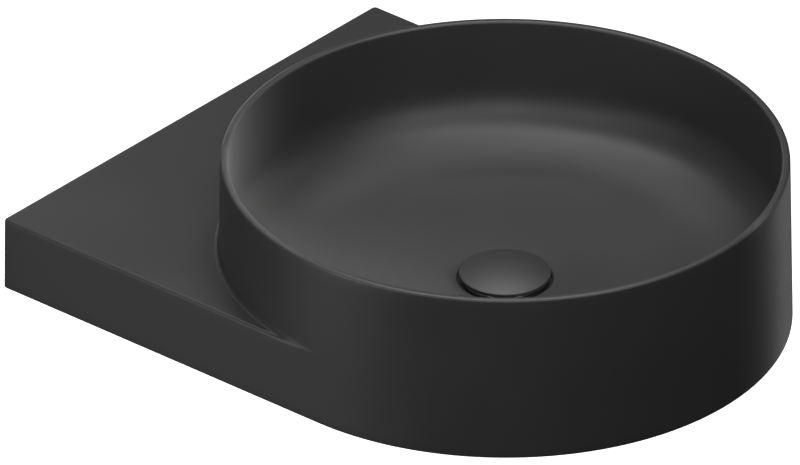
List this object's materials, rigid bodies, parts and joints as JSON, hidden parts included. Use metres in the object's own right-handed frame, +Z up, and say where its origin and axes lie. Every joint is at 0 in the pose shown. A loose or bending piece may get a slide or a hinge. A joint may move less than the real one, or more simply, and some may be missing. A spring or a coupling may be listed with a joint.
{
  "type": "wall-hung washbasin",
  "caption": "Wall-hung matt black ceramic washbasin: round thin-rimmed bowl in front of a low rectangular deck, with a domed ceramic cap on its click-clack waste.",
  "frame": {"origin": "on the wall face, midway between the axes of the two wall studs", "axes": "+Z up, +X along the wall to the right as seen from behind the basin's front looking at the wall, +Y into the wall; the basin stands out towards -Y"},
  "size_m": [0.45, 0.571, 0.19],
  "materials": {
    "matt_black_ceramic": "matt black glaze",
    "brass": "machined",
    "chrome": "polished plate",
    "zinc_steel": "bright zinc plate",
    "spring_steel": "drawn wire",
    "black_rubber": "moulded",
    "white_nylon": "moulded",
    "black_plastic": "moulded"
  },
  "bodies": {
    "basin_and_waste": {"basin": "matt_black_ceramic", "cartridge_housing": "brass", "cartridge_cover": "brass", "latch_spring": "spring_steel", "waste_body": "chrome", "flange_gasket": "black_rubber", "under_gasket": "black_rubber", "slip_washer": "white_nylon", "back_nut": "brass", "wall_stud_left": "zinc_steel", "stud_sleeve_left": "white_nylon", "stud_washer_left": "zinc_steel", "stud_nut_left": "zinc_steel", "stud_cap_left": "black_plastic", "wall_stud_right": "zinc_steel", "stud_sleeve_right": "white_nylon", "stud_washer_right": "zinc_steel", "stud_nut_right": "zinc_steel", "stud_cap_right": "black_plastic"},
    "plug": {"drain_cap": "matt_black_ceramic", "cap_insert": "brass", "cap_seal": "black_rubber", "stem_lock_nut": "brass", "plunger_stem": "brass"},
    "rotor": {"latch_rotor": "white_nylon"}
  },
  "joints": [
    {"name": "cap_slide", "type": "slide", "parent": "basin_and_waste", "child": "plug", "axis": [0, 0, 1], "range_m": [0, 0.008], "deforming": ["latch_spring"]},
    {"name": "rotor_turn", "type": "hinge", "parent": "plug", "child": "rotor", "pos_m": [0, -0.325, -0.043], "axis": [0, 0, 1], "range_deg": [0, 45]}
  ],
  "couplings": [
    {"joint": "rotor_turn", "follows": "cap_slide", "rad_per_m": 98.175}
  ]
}
